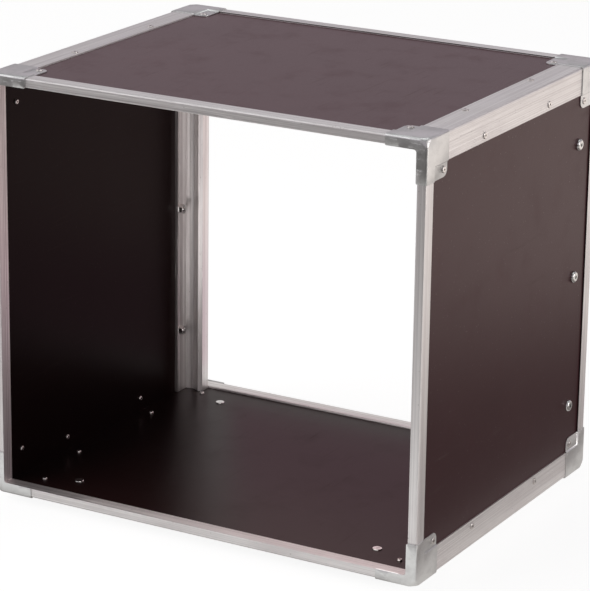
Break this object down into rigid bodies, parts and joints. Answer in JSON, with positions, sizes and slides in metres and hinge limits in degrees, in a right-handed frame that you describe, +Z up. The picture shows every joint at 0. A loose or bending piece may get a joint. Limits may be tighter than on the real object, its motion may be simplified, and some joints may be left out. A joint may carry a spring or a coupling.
{
  "type": "studio rack",
  "caption": "Open-ended rack case of film-faced plywood with aluminium edges, pressed steel corners, rubber feet and two rack rails with tapped strips.",
  "frame": {"origin": "centre of the footprint, on the floor under the feet", "axes": "+Z up, +Y towards the end with the rack rails, X across the width"},
  "size_m": [0.5246, 0.4114, 0.4823],
  "materials": {
    "board": "satin phenolic film",
    "trim": "satin",
    "angle": "satin",
    "corner": "bright zinc plate",
    "rail": "satin",
    "strip": "zinc plate",
    "rivet": "satin",
    "bolt": "bright zinc plate",
    "foot": "matt"
  },
  "bodies": {
    "root": {"top_panel": "board", "bottom_panel": "board", "left_panel": "board", "right_panel": "board", "front_bottom_trim": "trim", "front_top_trim": "trim", "front_left_trim": "trim", "front_right_trim": "trim", "rear_bottom_trim": "trim", "rear_top_trim": "trim", "rear_left_trim": "trim", "rear_right_trim": "trim", "bottom_left_angle": "angle", "front_bottom_left_corner": "corner", "rear_bottom_left_corner": "corner", "bottom_right_angle": "angle", "front_bottom_right_corner": "corner", "rear_bottom_right_corner": "corner", "top_left_angle": "angle", "front_top_left_corner": "corner", "rear_top_left_corner": "corner", "top_right_angle": "angle", "front_top_right_corner": "corner", "rear_top_right_corner": "corner", "left_rack_rail": "rail", "left_tapped_strip": "strip", "front_left_foot": "foot", "rear_left_foot": "foot", "right_rack_rail": "rail", "right_tapped_strip": "strip", "front_right_foot": "foot", "rear_right_foot": "foot", "angle_rivets": "rivet", "corner_rivets": "rivet", "rail_bolts": "bolt", "rail_nuts": "bolt", "foot_bolts": "bolt", "foot_nuts": "bolt"}
  },
  "joints": []
}
